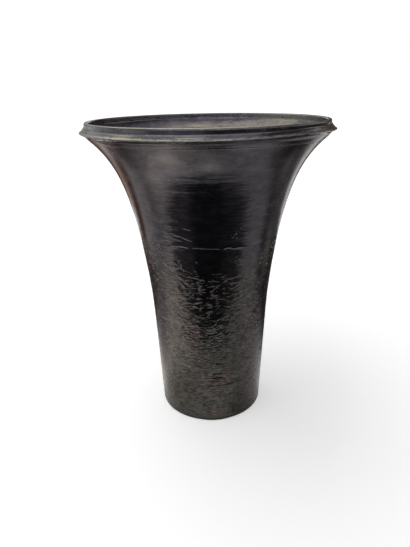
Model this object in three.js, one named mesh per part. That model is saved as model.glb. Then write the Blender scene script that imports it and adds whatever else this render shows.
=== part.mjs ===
// Stoneware vase with a trumpet mouth, a collar and an upright lip.
// It is thrown in sections that are joined with slip, then glazed and fired as one vessel.
// Millimetres, +Z up, origin at the centre of the face that the foot stands on.
import * as THREE from "three";

// Heights of the sections, in the order that they are stacked on the table.
const FOOT_HEIGHT = 8;
const LOWER_HEIGHT = 239.2;
const FLARE_HEIGHT = 113.4;
const RIM_HEIGHT = 18.5;

// Thickness of the slip in every joint, left open between the solids.
const SLIP = 0.3;

// The outer line of the wall: a slightly widening cone that turns into a trumpet above the waist.
const FOOT_RADIUS = 69;
const WALL_TAPER = 0.0454;
const WAIST_LEVEL = 130;
const THROAT_RADIUS = 138;
const SOFT_SHARE = 0.59;
const SOFT_POWER = 2;
const SHARP_POWER = 8.6;

// The walls and the floor.
const WALL = 8;
const FLOOR_THICKNESS = 12;
const COVE_RADIUS = 7;
const COVE_LAND = 1.2;

// The turned foot: how far the floor reaches over it, its rounded edge and the slope of its bore.
const FLOOR_SEAT = 6;
const FOOT_EDGE_RADIUS = 2.5;
const FOOT_BORE_DRAFT = 2;

// The ridge on top of a section and the groove that takes it in the next one.
const RIDGE_HEIGHT = 3;
const RIDGE_SHARE = 0.5;

// The small bevel that leaves a fine line round the vase at a joint.
const SEAM_BEVEL = 0.6;

// The upright lip.
const LIP_STEP_OUT = 4;
const LIP_WALL = 5;
const LIP_EDGE_RADIUS = 2.4;
const LIP_STRAIGHT = 4;

// The collar round the lip's root.
const COLLAR_HEIGHT = 13.5;
const COLLAR_REACH = 5.9;
const COLLAR_EDGE_LEVEL = 6.5;
const COLLAR_EDGE_RADIUS = 1.6;
const COLLAR_EDGE_TURN = [-70, 60];
const COLLAR_TOP_LAND = 0.8;
const COLLAR_UNDER_LAND = 0.6;
const LEDGE_HOLLOW = 0.35;

// How finely the round shapes are faceted.
const ROUND_STEPS = 64;
const LOWER_STEPS = 8;
const FLARE_STEPS = 12;
const BEND_STEPS = 4;
const SLOPE_STEP = 0.01;

// Levels above the table.
const lowerLevel = FOOT_HEIGHT + SLIP;
const seamLevel = lowerLevel + LOWER_HEIGHT;
const flareLevel = seamLevel + SLIP;
const throatLevel = flareLevel + FLARE_HEIGHT;
const rimLevel = throatLevel + SLIP;

const ridgeHalfWidth = (WALL * RIDGE_SHARE) / 2;
const lipRadius = THROAT_RADIUS + LIP_STEP_OUT;

const glaze = new THREE.MeshStandardMaterial({ color: 0x1d1c1f, roughness: 0.28, metalness: 0.35 });
const bareClay = new THREE.MeshStandardMaterial({ color: 0x4a3d33, roughness: 0.85, metalness: 0 });

// The outer radius of the wall at a level above the table.
function outerRadius(level) {
  const cone = FOOT_RADIUS + WALL_TAPER * level;
  const flare = THROAT_RADIUS - (FOOT_RADIUS + WALL_TAPER * throatLevel);
  const rise = Math.max(0, (level - WAIST_LEVEL) / (throatLevel - WAIST_LEVEL));
  const soft = SOFT_SHARE * rise ** SOFT_POWER;
  const sharp = (1 - SOFT_SHARE) * rise ** SHARP_POWER;
  return cone + flare * (soft + sharp);
}

// How fast the wall widens with height at a level.
function wallSlope(level) {
  return (outerRadius(level + SLOPE_STEP) - outerRadius(level - SLOPE_STEP)) / (2 * SLOPE_STEP);
}

// The inner radius of the wall, whose thickness is measured square to its outer line.
function innerRadius(level) {
  return outerRadius(level) - WALL * Math.hypot(1, wallSlope(level));
}

// Points of a wall line between two levels, given from a base level.
function wallLine(radiusAt, from, to, base, steps) {
  return Array.from({ length: steps + 1 }, (_, i) => {
    const level = THREE.MathUtils.lerp(from, to, i / steps);
    return new THREE.Vector2(radiusAt(level), level - base);
  });
}

// Points of a round edge about a centre, with angles in degrees from the outward direction.
function roundEdge(radius, height, edge, from, to) {
  return Array.from({ length: BEND_STEPS + 1 }, (_, i) => {
    const angle = THREE.MathUtils.degToRad(THREE.MathUtils.lerp(from, to, i / BEND_STEPS));
    return new THREE.Vector2(radius + edge * Math.cos(angle), height + edge * Math.sin(angle));
  });
}

// Points of a bend from one place to another that is pulled towards a corner.
function bend(start, corner, end) {
  return new THREE.QuadraticBezierCurve(start, corner, end).getPoints(BEND_STEPS);
}

// The middle of the wall at a level, where a joint's ridge and groove lie.
function midWall(level) {
  return (outerRadius(level) + innerRadius(level)) / 2;
}

// The ridge on top of a section, from the outside in.
function ridge(level, height) {
  const middle = midWall(level);
  return [
    new THREE.Vector2(middle + ridgeHalfWidth, height),
    new THREE.Vector2(middle, height + RIDGE_HEIGHT),
    new THREE.Vector2(middle - ridgeHalfWidth, height),
  ];
}

// The groove under a section that clears the ridge below it, from the inside out.
function groove(level) {
  const middle = midWall(level);
  const halfWidth = ridgeHalfWidth + SLIP;
  return [
    new THREE.Vector2(middle - halfWidth, 0),
    new THREE.Vector2(middle, RIDGE_HEIGHT + SLIP),
    new THREE.Vector2(middle + halfWidth, 0),
  ];
}

// A ring or disc turned about Z from its outline, placed at its own level.
function turned(name, outline, level, material) {
  const geometry = new THREE.LatheGeometry(outline, ROUND_STEPS).rotateX(Math.PI / 2);
  const mesh = new THREE.Mesh(geometry, material);
  mesh.name = name;
  mesh.position.z = level;
  return mesh;
}

// A ring's outline, closed on its own first point.
function closed(points) {
  return [...points, points[0].clone()];
}

function footRing() {
  const outside = outerRadius(FOOT_HEIGHT);
  const bore = innerRadius(lowerLevel) - FLOOR_SEAT;
  const edge = outerRadius(0) - FOOT_EDGE_RADIUS;
  return turned("foot_ring", closed([
    ...roundEdge(edge, FOOT_EDGE_RADIUS, FOOT_EDGE_RADIUS, -90, 0),
    new THREE.Vector2(outside, FOOT_HEIGHT - SEAM_BEVEL),
    new THREE.Vector2(outside - SEAM_BEVEL, FOOT_HEIGHT),
    new THREE.Vector2(bore, FOOT_HEIGHT),
    new THREE.Vector2(bore + FOOT_BORE_DRAFT, 0),
  ]), 0, bareClay);
}

function floorDisc() {
  const coveTop = FLOOR_THICKNESS + COVE_RADIUS;
  const edgeAt = (height) => innerRadius(lowerLevel + height) - SLIP;
  const coveCentre = edgeAt(coveTop) - COVE_LAND - COVE_RADIUS;
  return turned("floor_disc", [
    new THREE.Vector2(0, 0),
    new THREE.Vector2(edgeAt(0), 0),
    new THREE.Vector2(edgeAt(coveTop), coveTop),
    ...roundEdge(coveCentre, coveTop, COVE_RADIUS, 0, -90),
    new THREE.Vector2(0, FLOOR_THICKNESS),
  ], lowerLevel, glaze);
}

function lowerWall() {
  const from = lowerLevel + SEAM_BEVEL;
  const to = seamLevel - SEAM_BEVEL;
  const outside = wallLine(outerRadius, from, to, lowerLevel, LOWER_STEPS);
  const inside = wallLine(innerRadius, seamLevel, lowerLevel, lowerLevel, LOWER_STEPS);
  return turned("lower_wall", closed([
    new THREE.Vector2(outerRadius(lowerLevel) - SEAM_BEVEL, 0),
    ...outside,
    new THREE.Vector2(outerRadius(seamLevel) - SEAM_BEVEL, LOWER_HEIGHT),
    ...ridge(seamLevel, LOWER_HEIGHT),
    ...inside,
  ]), lowerLevel, glaze);
}

function flaredWall() {
  const from = flareLevel + SEAM_BEVEL;
  const outside = wallLine(outerRadius, from, throatLevel, flareLevel, FLARE_STEPS);
  const inside = wallLine(innerRadius, throatLevel, flareLevel, flareLevel, FLARE_STEPS);
  return turned("flared_wall", closed([
    ...groove(seamLevel),
    new THREE.Vector2(outerRadius(flareLevel) - SEAM_BEVEL, 0),
    ...outside,
    ...ridge(throatLevel, FLARE_HEIGHT),
    ...inside,
  ]), flareLevel, glaze);
}

// Height above its seat at which the flaring root of the lip turns upright.
function rootHeight() {
  return LIP_STEP_OUT / wallSlope(throatLevel);
}

function lipRing() {
  const inside = lipRadius - LIP_WALL;
  const mouth = innerRadius(throatLevel);
  const bendTop = RIM_HEIGHT - LIP_EDGE_RADIUS - LIP_STRAIGHT;
  const cornerHeight = Math.min(bendTop, (inside - mouth) / wallSlope(throatLevel));
  const edgeHeight = RIM_HEIGHT - LIP_EDGE_RADIUS;
  const upright = new THREE.Vector2(inside, bendTop);
  const corner = new THREE.Vector2(inside, cornerHeight);
  return turned("lip_ring", closed([
    ...groove(throatLevel),
    new THREE.Vector2(THROAT_RADIUS, 0),
    new THREE.Vector2(lipRadius, rootHeight()),
    ...roundEdge(lipRadius - LIP_EDGE_RADIUS, edgeHeight, LIP_EDGE_RADIUS, 0, 90),
    ...roundEdge(inside + LIP_EDGE_RADIUS, edgeHeight, LIP_EDGE_RADIUS, 90, 180),
    ...bend(upright, corner, new THREE.Vector2(mouth, 0)),
  ]), rimLevel, glaze);
}

function collarRing() {
  const seat = lipRadius + SLIP;
  const edgeRadius = seat + COLLAR_REACH - COLLAR_EDGE_RADIUS;
  const edgeHeight = COLLAR_EDGE_LEVEL + COLLAR_EDGE_RADIUS;
  const ledgeTop = new THREE.Vector2(seat + COLLAR_TOP_LAND, COLLAR_HEIGHT);
  const edge = roundEdge(edgeRadius, edgeHeight, COLLAR_EDGE_RADIUS, ...COLLAR_EDGE_TURN);
  const ledgeFoot = edge.at(-1);
  const hollow = new THREE.Vector2(
    THREE.MathUtils.lerp(ledgeTop.x, ledgeFoot.x, LEDGE_HOLLOW),
    THREE.MathUtils.lerp(ledgeFoot.y, ledgeTop.y, LEDGE_HOLLOW),
  );
  return turned("collar_ring", closed([
    new THREE.Vector2(THROAT_RADIUS + SLIP, 0),
    new THREE.Vector2(THROAT_RADIUS + SLIP + COLLAR_UNDER_LAND, 0),
    ...edge.slice(0, -1),
    ...bend(ledgeFoot, hollow, ledgeTop),
    new THREE.Vector2(seat, COLLAR_HEIGHT),
    new THREE.Vector2(seat, rootHeight()),
  ]), rimLevel, glaze);
}

const base = new THREE.Group();
base.add(footRing(), floorDisc());

const walls = new THREE.Group();
walls.add(lowerWall(), flaredWall());

const rim = new THREE.Group();
rim.add(lipRing(), collarRing());

const vase = new THREE.Group();
vase.add(base, walls, rim);

export default vase;
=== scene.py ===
"""Looks of a tall stoneware vase with a trumpet mouth, a collar and an upright lip.

The thrown walls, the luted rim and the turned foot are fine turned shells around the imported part. They
carry the throwing rings, wrinkled clay and tool marks of the real vase, under a dark metallic glaze.
Metres, +Z up, with the origin at the centre of the circle that the foot stands on.
"""

import logging
import math
from collections.abc import Callable, Sequence
from dataclasses import dataclass, field
from enum import Enum
from functools import cached_property
from typing import Any

import bmesh
import bpy
from mathutils import Matrix, Vector, noise


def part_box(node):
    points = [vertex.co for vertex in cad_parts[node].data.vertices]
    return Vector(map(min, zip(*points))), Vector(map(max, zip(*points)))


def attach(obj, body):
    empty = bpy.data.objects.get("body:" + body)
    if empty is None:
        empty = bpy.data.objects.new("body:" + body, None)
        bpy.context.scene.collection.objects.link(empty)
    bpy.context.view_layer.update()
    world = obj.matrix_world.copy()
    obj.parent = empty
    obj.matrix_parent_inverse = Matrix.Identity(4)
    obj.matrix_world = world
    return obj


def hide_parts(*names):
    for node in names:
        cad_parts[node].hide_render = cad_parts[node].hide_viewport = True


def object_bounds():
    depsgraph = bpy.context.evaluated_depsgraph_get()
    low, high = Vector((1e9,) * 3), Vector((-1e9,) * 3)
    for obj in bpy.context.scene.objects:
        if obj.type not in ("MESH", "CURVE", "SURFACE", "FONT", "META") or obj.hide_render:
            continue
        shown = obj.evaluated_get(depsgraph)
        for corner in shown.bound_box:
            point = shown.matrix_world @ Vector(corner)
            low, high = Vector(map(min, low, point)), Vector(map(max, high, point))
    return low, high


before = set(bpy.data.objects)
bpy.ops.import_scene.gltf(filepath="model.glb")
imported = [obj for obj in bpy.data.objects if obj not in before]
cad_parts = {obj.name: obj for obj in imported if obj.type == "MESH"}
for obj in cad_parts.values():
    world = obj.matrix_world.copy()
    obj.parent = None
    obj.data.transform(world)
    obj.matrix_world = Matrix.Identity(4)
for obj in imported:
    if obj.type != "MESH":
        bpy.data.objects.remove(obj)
cad_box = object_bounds()

log = logging.getLogger("vase")

BODY = "root"
CREST = "crest"
FOLD = "fold"
CRUMPLE = "crumple"
WEDGES = 16
WEDGE_STEPS = 20
SHARP_ANGLE = math.radians(62)
SLIP = 0.0003
STRAY_START = Vector((3.0, 8.0, 2.0))
PATCH_START = Vector((5.0, 1.0, 9.0))

Colour = tuple[float, float, float]
Shell = bmesh.types.BMesh
Material = bpy.types.Material
Socket = bpy.types.NodeSocket
Tree = bpy.types.ShaderNodeTree


class Slot(Enum):
    """The record's material slots."""

    GLAZE = "glaze"
    BARE_CLAY = "bare_clay"


@dataclass
class Skin:
    """What the relief says of one point of a surface.

    The move is along the normal, and the lift is straight up. The crest is where the glaze is painted pale:
    partly thin glaze, and partly a painted highlight on edges, ridges and wrinkle tops, which painted shade
    takes back in places. The fold is a slow value whose zero lines are the tops of the clay's wrinkles, and
    the crumple is how strong they are.
    """

    move: float = 0.0
    crest: float = 0.0
    fold: float = 1.0
    crumple: float = 0.0
    inside: bool = False
    lift: float = 0.0


Relief = Callable[[Vector], Skin]


class Stand(Enum):
    """How a studio card stands."""

    LYING = 0.0
    UPRIGHT = math.pi / 2


def smooth(low: float, high: float, value: float) -> float:
    """Rises smoothly from 0 at one value to 1 at another.

    Args:
        low: The value at which the result leaves 0.
        high: The value at which the result reaches 1.
        value: The value looked up.

    Returns:
        A share from 0 to 1.
    """
    share = min(1.0, max(0.0, (value - low) / (high - low)))
    return share * share * (3.0 - 2.0 * share)


def arc(centre: tuple[float, float], radius: float, start: float, end: float, steps: int) -> list[Vector]:
    """Points along a round edge of an outline.

    Args:
        centre: Distance from the axis and level of the arc's centre.
        radius: The arc's radius.
        start: First angle in degrees, from the outward direction.
        end: Last angle in degrees.
        steps: How many stretches the arc is cut into.

    Returns:
        The arc's points in the XZ plane.
    """
    angles = [math.radians(start + (end - start) * i / steps) for i in range(steps + 1)]
    return [
        Vector((centre[0] + radius * math.cos(a), 0.0, centre[1] + radius * math.sin(a)))
        for a in angles
    ]


def bend(start: Vector, corner: Vector, end: Vector, steps: int) -> list[Vector]:
    """Points of a bend that is pulled towards a corner.

    Args:
        start: Where the bend starts.
        corner: The corner that pulls it.
        end: Where the bend ends.
        steps: How many stretches the bend is cut into.

    Returns:
        The bend's points, with both ends.
    """
    shares = [i / steps for i in range(steps + 1)]
    return [start * (1 - t) ** 2 + corner * (2 * t * (1 - t)) + end * t**2 for t in shares]


def at(radius: float, level: float) -> Vector:
    """A point of an outline in the XZ plane."""
    return Vector((radius, 0.0, level))


def bearing(point: Vector) -> float:
    """Angle of a point in radians, from the front towards the right."""
    return math.atan2(point.x, -point.y)


def axis_distance(point: Vector) -> float:
    """Distance of a point from the axis."""
    return math.hypot(point.x, point.y)


def lobes(turn: float, count: float, height: float) -> float:
    """A slow unevenness round the vase.

    Args:
        turn: Angle of the point in radians.
        count: How uneven it is on the way round.
        height: Where it is looked up along the axis.

    Returns:
        A value from about -1 to 1.
    """
    return noise.noise(Vector((count * math.sin(turn), count * math.cos(turn), height)))


@dataclass(frozen=True)
class WallLine:
    """The outer line of the wall: a slightly widening cone that turns into a trumpet above the waist."""

    throat: float
    throat_radius: float
    foot_radius: float = 0.069
    taper: float = 0.0454
    waist: float = 0.130
    soft_share: float = 0.59
    soft_power: float = 2.0
    sharp_power: float = 8.6
    wall: float = 0.008
    slope_step: float = 0.00001

    def radius(self, level: float) -> float:
        """Outer radius at a level."""
        cone = self.foot_radius + self.taper * level
        flare = self.throat_radius - (self.foot_radius + self.taper * self.throat)
        rise = max(0.0, (level - self.waist) / (self.throat - self.waist))
        soft = self.soft_share * rise**self.soft_power
        sharp = (1 - self.soft_share) * rise**self.sharp_power
        return cone + flare * (soft + sharp)

    def slope(self, level: float) -> float:
        """How fast the wall widens with height at a level."""
        step = self.slope_step
        return (self.radius(level + step) - self.radius(level - step)) / (2 * step)

    def inner(self, level: float) -> float:
        """Inner radius, with the wall's thickness square to its outer line."""
        return self.radius(level) - self.wall * math.hypot(1.0, self.slope(level))

    def points(self, inside: bool, start: float, end: float, steps: int) -> list[Vector]:
        """Points of the wall's outer or inner line.

        Args:
            inside: True for the inner line.
            start: The first level.
            end: The last level.
            steps: How many stretches the line is cut into.

        Returns:
            The line's points in the XZ plane.
        """
        radius_at = self.inner if inside else self.radius
        levels = [start + (end - start) * i / steps for i in range(steps + 1)]
        return [at(radius_at(level), level) for level in levels]


@dataclass(frozen=True)
class Mark:
    """A short scratch, dent or ridge on the outside of the wall.

    Angles run from the front towards the right, and a negative depth stands proud.
    """

    angle: float
    level: float
    length: float
    width: float
    depth: float
    tilt: float = 0.0

    def offset(self, turn: float, level: float, radius: float) -> float:
        """How far the mark moves the surface outwards.

        Args:
            turn: Angle of the point in degrees, from the front towards the right.
            level: Level of the point.
            radius: Distance of the point from the axis.

        Returns:
            The move in metres, negative for a dent.
        """
        across = math.radians(turn - self.angle) * radius
        up = level - self.level
        if abs(across) > 3 * self.length or abs(up) > 2 * self.length + 3 * self.width:
            return 0.0
        lean = math.radians(self.tilt)
        along = across * math.cos(lean) + up * math.sin(lean)
        aside = up * math.cos(lean) - across * math.sin(lean)
        return -self.depth * math.exp(-((along / self.length) ** 4) - (aside / self.width) ** 2)


@dataclass(frozen=True)
class Blush:
    """A soft patch placed like a mark. Most make the glaze paler; one takes paleness away as painted shade.
    """

    angle: float
    level: float
    across: float
    up: float
    share: float

    def strength(self, turn: float, level: float, radius: float) -> float:
        """How strong the patch is at a point. A finish takes more than 1 as 1."""
        aside = math.radians(turn - self.angle) * radius / self.across
        above = (level - self.level) / self.up
        return self.share * math.exp(-(aside**2) - above**2)


def wall_dents() -> list[Mark]:
    """The broad dents in the wall."""
    return [
        Mark(66.0, 0.0895, 0.0060, 0.0030, 0.00085, 10),
        Mark(38.0, 0.1330, 0.0090, 0.0045, 0.00040, 12),
        Mark(-34.0, 0.1020, 0.0110, 0.0050, 0.00035, -8),
        Mark(5.0, 0.0725, 0.0120, 0.0042, 0.00045, -4),
        Mark(150.0, 0.1500, 0.0100, 0.0050, 0.00050, 6),
        Mark(-140.0, 0.0600, 0.0090, 0.0040, 0.00050, -5),
    ]


def wall_lines() -> list[Mark]:
    """The thin lines drawn round the wall: ridges of slip and cuts of the tool."""
    ridges = [
        Mark(-14.8, 0.2712, 0.0050, 0.0007, -0.00019, -11),
        Mark(-19.3, 0.2612, 0.0150, 0.0008, -0.00027, -17),
        Mark(-24.8, 0.2587, 0.0092, 0.0007, -0.00023, -18),
        Mark(-22.0, 0.2495, 0.0130, 0.0009, -0.00035, -1),
        Mark(-2.5, 0.2487, 0.0200, 0.0007, -0.00016, -2),
        Mark(17.6, 0.2474, 0.0135, 0.0009, -0.00040, -3),
        Mark(-10.7, 0.2104, 0.0118, 0.0009, -0.00032, -13),
        Mark(3.5, 0.2074, 0.0080, 0.0008, -0.00022, -2),
        Mark(19.0, 0.2090, 0.0132, 0.0009, -0.00034, 9),
    ]
    cuts = [
        Mark(7.0, 0.0905, 0.0034, 0.0022, 0.00030, -6),
        Mark(6.5, 0.0759, 0.0075, 0.0019, 0.00036, 6),
        Mark(5.5, 0.0697, 0.0078, 0.0015, 0.00030, 4),
        Mark(1.0, 0.0640, 0.0050, 0.0013, 0.00022, -3),
        Mark(16.2, 0.0573, 0.0340, 0.0013, 0.00026, 1),
        Mark(27.0, 0.0615, 0.0090, 0.0012, 0.00020, 10),
        Mark(-61.0, 0.0130, 0.0140, 0.0015, 0.00100, -17),
        Mark(-50.0, 0.0190, 0.0060, 0.0014, 0.00030, -12),
        Mark(-12.0, 0.0870, 0.0045, 0.0014, 0.00022, -8),
    ]
    back_ridges = [
        Mark(120.0, 0.2480, 0.0300, 0.0009, -0.00030, 2),
        Mark(-165.0, 0.2490, 0.0400, 0.0009, -0.00030, -1),
        Mark(-120.0, 0.1900, 0.0200, 0.0010, -0.00030, 6),
    ]
    return [*ridges, *cuts, *back_ridges]


@dataclass
class ThrownRelief:
    """What throwing, wrinkling and trimming leave on the wall."""

    line: WallLine
    seam: float
    # How far the wall strays from a true circle, and its throwing rings.
    wobble: float = 0.00022
    ring_pitch: float = 0.0078
    ring_depth: float = 0.00007
    # The fine lines of wet hands on the trumpet.
    streak_pitch: float = 0.0026
    streak_depth: float = 0.000055
    streaks_per_radian: float = 3.5
    streaked_from: float = 0.020
    streaked_to: float = 0.004
    smoothed: float = 0.6
    smooth_from: float = 0.315
    smooth_to: float = 0.345
    # The rings of the fingers inside.
    finger_pitch: float = 0.0135
    finger_depth: float = 0.00036
    finger_pale: float = 0.3
    finger_fade: float = 0.030
    swell_size: float = 0.030
    # The seam between the two sections, and a painted highlight along the joint under the rim.
    seam_rise: float = 0.00012
    seam_width: float = 0.0014
    joint_highlight: float = 0.75
    joint_width: float = 0.0016
    # The wrinkles, and the bare place at the front that they leave.
    wrinkle_width: float = 0.0098
    wrinkle_height: float = 0.0041
    wrinkle_depth: float = 0.00020
    wrinkle_reach: float = 0.36
    wrinkle_stray: float = 0.022
    stray_size: float = 0.017
    shift_size: float = 0.014
    shift_share: float = 1.5
    patch_size: float = 0.021
    patch_from: float = -0.50
    patch_to: float = 0.12
    bare_angle: float = 1.0
    bare_width: float = 18.0
    bare_drop: float = 0.026
    wrinkle_top: float = 0.252
    top_fade: tuple[float, float] = (0.004, 0.030)
    wrinkle_foot: float = 0.094
    foot_fade: tuple[float, float] = (0.012, 0.022)
    # The pitted clay.
    grit_size: float = 0.0034
    grit_depth: float = 0.00016
    grit_least: float = 0.35
    grit_from: float = 0.20
    grit_to: float = 0.09
    grit_above: float = 0.10
    grit_over: float = 0.09
    # Dents and pale patches, and the height of the bands that the dents are sorted into.
    marks: Sequence[Mark] = field(default_factory=wall_dents)
    blushes: Sequence[Blush] = (
        Blush(-18.0, 0.3505, 0.012, 0.0060, 0.55),
        Blush(1.0, 0.3420, 0.009, 0.0045, 0.85),
        Blush(24.0, 0.3380, 0.016, 0.0060, 0.25),
        Blush(-32.0, 0.3300, 0.014, 0.0080, 0.30),
    )
    band: float = 0.01

    def __post_init__(self) -> None:
        """Sorts the marks into bands of height, so that a point only looks at those near it."""
        self.by_band: dict[int, list[Mark]] = {}
        for mark in self.marks:
            reach = 2 * mark.length + 3 * mark.width
            low, high = (math.floor((mark.level + side * reach) / self.band) for side in (-1, 1))
            for number in range(low, high + 1):
                self.by_band.setdefault(number, []).append(mark)

    def wander(self, turn: float, level: float) -> float:
        """How far the hand-made wall strays from a true circle."""
        slow = math.sin(2 * turn + 1.1 + level * 9.0) + 0.6 * math.sin(3 * turn + 4.0 - level * 14.0)
        return self.wobble * slow

    def wrinkles(self, point: Vector) -> tuple[float, float]:
        """The wrinkles' fold at a point, whose zero lines are their tops, and how strong they are there."""
        aside = math.degrees(bearing(point)) - self.bare_angle
        top = self.wrinkle_top - self.bare_drop * math.exp(-((aside / self.bare_width) ** 2))
        top += self.wrinkle_stray * noise.noise(point / self.stray_size + STRAY_START)
        zone = smooth(top + self.top_fade[0], top - self.top_fade[1], point.z)
        foot = self.wrinkle_foot
        zone *= smooth(foot - self.foot_fade[0], foot + self.foot_fade[1], point.z)
        if zone <= 0.0:
            return 1.0, 0.0
        shift = noise.noise(point / self.shift_size)
        cover = noise.noise(point / self.patch_size + PATCH_START)
        patch = smooth(self.patch_from, self.patch_to, cover)
        spread = Vector((point.x / self.wrinkle_width, point.y / self.wrinkle_width, 0.0))
        spread.z = point.z / self.wrinkle_height + self.shift_share * shift
        return noise.noise(spread), zone * patch

    def streaks(self, point: Vector, turn: float) -> float:
        """Height of the fine lines that wet hands leave on the trumpet, as a share of their full height."""
        share = smooth(self.seam - self.streaked_from, self.seam + self.streaked_to, point.z)
        share *= 1.0 - self.smoothed * smooth(self.smooth_from, self.smooth_to, point.z)
        if share <= 0.0:
            return 0.0
        around = self.streaks_per_radian
        place = (around * math.sin(turn), around * math.cos(turn), point.z / self.streak_pitch)
        return share * noise.fractal(Vector(place), 0.8, 2.0, 2)

    def grit(self, point: Vector) -> float:
        """Height of the fine pitted clay, as a share of its full height."""
        size = self.grit_size
        low = self.grit_least + (1 - self.grit_least) * smooth(self.grit_from, self.grit_to, point.z)
        if point.z > self.seam:
            low = self.grit_above * smooth(self.seam + self.grit_over, self.seam, point.z)
        flat = Vector((point.x / size, point.y / size, point.z / (0.7 * size)))
        return low * noise.fractal(flat, 0.9, 2.1, 3)

    def outside(self, point: Vector, turn: float) -> Skin:
        """The skin at a point on the outside."""
        degrees = math.degrees(turn)
        rings = lobes(turn, 1.0, point.z / self.ring_pitch)
        fold, crumple = self.wrinkles(point)
        rise = max(0.0, 1.0 - abs(fold) / self.wrinkle_reach) ** 1.5 * crumple
        grit = self.grit(point)
        seam = math.exp(-(((point.z - self.seam) / self.seam_width) ** 2))
        radius = axis_distance(point)
        near = self.by_band.get(math.floor(point.z / self.band), ())
        move = self.wander(turn, point.z)
        move += self.ring_depth * rings
        move += self.streak_depth * self.streaks(point, turn)
        move += self.wrinkle_depth * rise
        move += self.grit_depth * grit
        move += self.seam_rise * seam
        move += sum(mark.offset(degrees, point.z, radius) for mark in near)
        crest = sum(blush.strength(degrees, point.z, radius) for blush in self.blushes)
        # A painted highlight along the joint under the rim.
        crest += self.joint_highlight * math.exp(-(((point.z - self.line.throat) / self.joint_width) ** 2))
        return Skin(move, crest, fold, crumple)

    def inside(self, point: Vector, turn: float) -> Skin:
        """The skin at a point on the inside, which keeps the rings of the fingers."""
        wound = point.z / self.finger_pitch - turn / math.tau
        swell = lobes(turn, 2.0, point.z / self.swell_size)
        rings = math.sin(math.tau * wound) * (0.6 + 0.5 * swell)
        fade = smooth(self.line.throat, self.line.throat - self.finger_fade, point.z)
        crest = self.finger_pale * max(0.0, rings) * fade
        return Skin(fade * self.finger_depth * rings, crest, inside=True)

    def skin(self, point: Vector) -> Skin:
        """The skin at any point of the wall.

        Args:
            point: A point of the true shape.

        Returns:
            The point's move and its masks.
        """
        turn = bearing(point)
        middle = self.line.radius(point.z) - 0.5 * self.line.wall
        if axis_distance(point) > middle:
            return self.outside(point, turn)
        return self.inside(point, turn)


def turned(outline: Sequence[Vector], is_ring: bool, steps: int) -> Shell:
    """Turns an outline about the vase's axis.

    Args:
        outline: Points in the XZ plane, in order round the piece.
        is_ring: True if the outline closes on itself, False if it starts and ends on the axis.
        steps: How many steps each of the wedges round the axis has.

    Returns:
        The closed shell, with its faces pointing out.
    """
    shell = bmesh.new()
    verts = [shell.verts.new(point) for point in outline]
    pairs = list(zip(verts, verts[1:]))
    if is_ring:
        pairs.append((verts[-1], verts[0]))
    edges = [shell.edges.new(pair) for pair in pairs]
    about = {"axis": (0.0, 0.0, 1.0), "cent": (0.0, 0.0, 0.0)}
    wedge = math.tau / WEDGES
    bmesh.ops.spin(shell, geom=[*verts, *edges], angle=wedge, steps=steps, **about)
    whole = [*shell.verts, *shell.edges, *shell.faces]
    rest = WEDGES - 1
    bmesh.ops.spin(shell, geom=whole, angle=wedge * rest, steps=rest, use_duplicate=True, **about)
    bmesh.ops.remove_doubles(shell, verts=shell.verts, dist=0.000002)
    bmesh.ops.recalc_face_normals(shell, faces=shell.faces)
    return shell


def carve(shell: Shell, relief: Relief) -> None:
    """Moves a shell's points along their normals, and keeps the relief's masks for the glaze.

    Args:
        shell: The turned shell.
        relief: Gives the skin at a point.
    """
    shell.normal_update()
    crests, folds, crumples = (shell.verts.layers.float.new(name) for name in (CREST, FOLD, CRUMPLE))
    inner = set()
    for vert in shell.verts:
        skin = relief(vert.co)
        vert.co += vert.normal * skin.move
        vert.co.z += skin.lift
        vert[crests] = skin.crest
        vert[folds] = skin.fold
        vert[crumples] = skin.crumple
        if skin.inside:
            inner.add(vert)
    for face in shell.faces:
        face.material_index = int(all(vert in inner for vert in face.verts))
    shell.normal_update()


def added(name: str, data: bpy.types.ID) -> bpy.types.Object:
    """Adds an object to the scene, and returns it."""
    thing = bpy.data.objects.new(name, data)
    bpy.context.scene.collection.objects.link(thing)
    return thing


def make_piece(
    node: str, how: str, outline: Sequence[Vector], relief: Relief, finishes: Sequence[Material],
    is_ring: bool = True, steps: int = WEDGE_STEPS,
) -> None:
    """Turns and carves one piece of the vase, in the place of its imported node.

    Args:
        node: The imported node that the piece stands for.
        how: How the piece was made, for its name.
        outline: Its outline in the XZ plane.
        relief: Gives the skin at a point.
        finishes: The finish outside, and the one inside if it differs.
        is_ring: False if the outline starts and ends on the axis.
        steps: How many steps each wedge has.
    """
    shell = turned(outline, is_ring, steps)
    carve(shell, relief)
    name = f"{node}_{how}"
    mesh = bpy.data.meshes.new(name)
    shell.to_mesh(mesh)
    shell.free()
    mesh.polygons.foreach_set("use_smooth", [True] * len(mesh.polygons))
    mesh.set_sharp_from_angle(angle=SHARP_ANGLE)
    for finish in (finishes[0], finishes[-1]):
        mesh.materials.append(finish)
    piece = added(name, mesh)
    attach(piece, BODY)
    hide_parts(node)
    log.info("%s stands for %s with %d faces", name, node, len(mesh.polygons))


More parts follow.
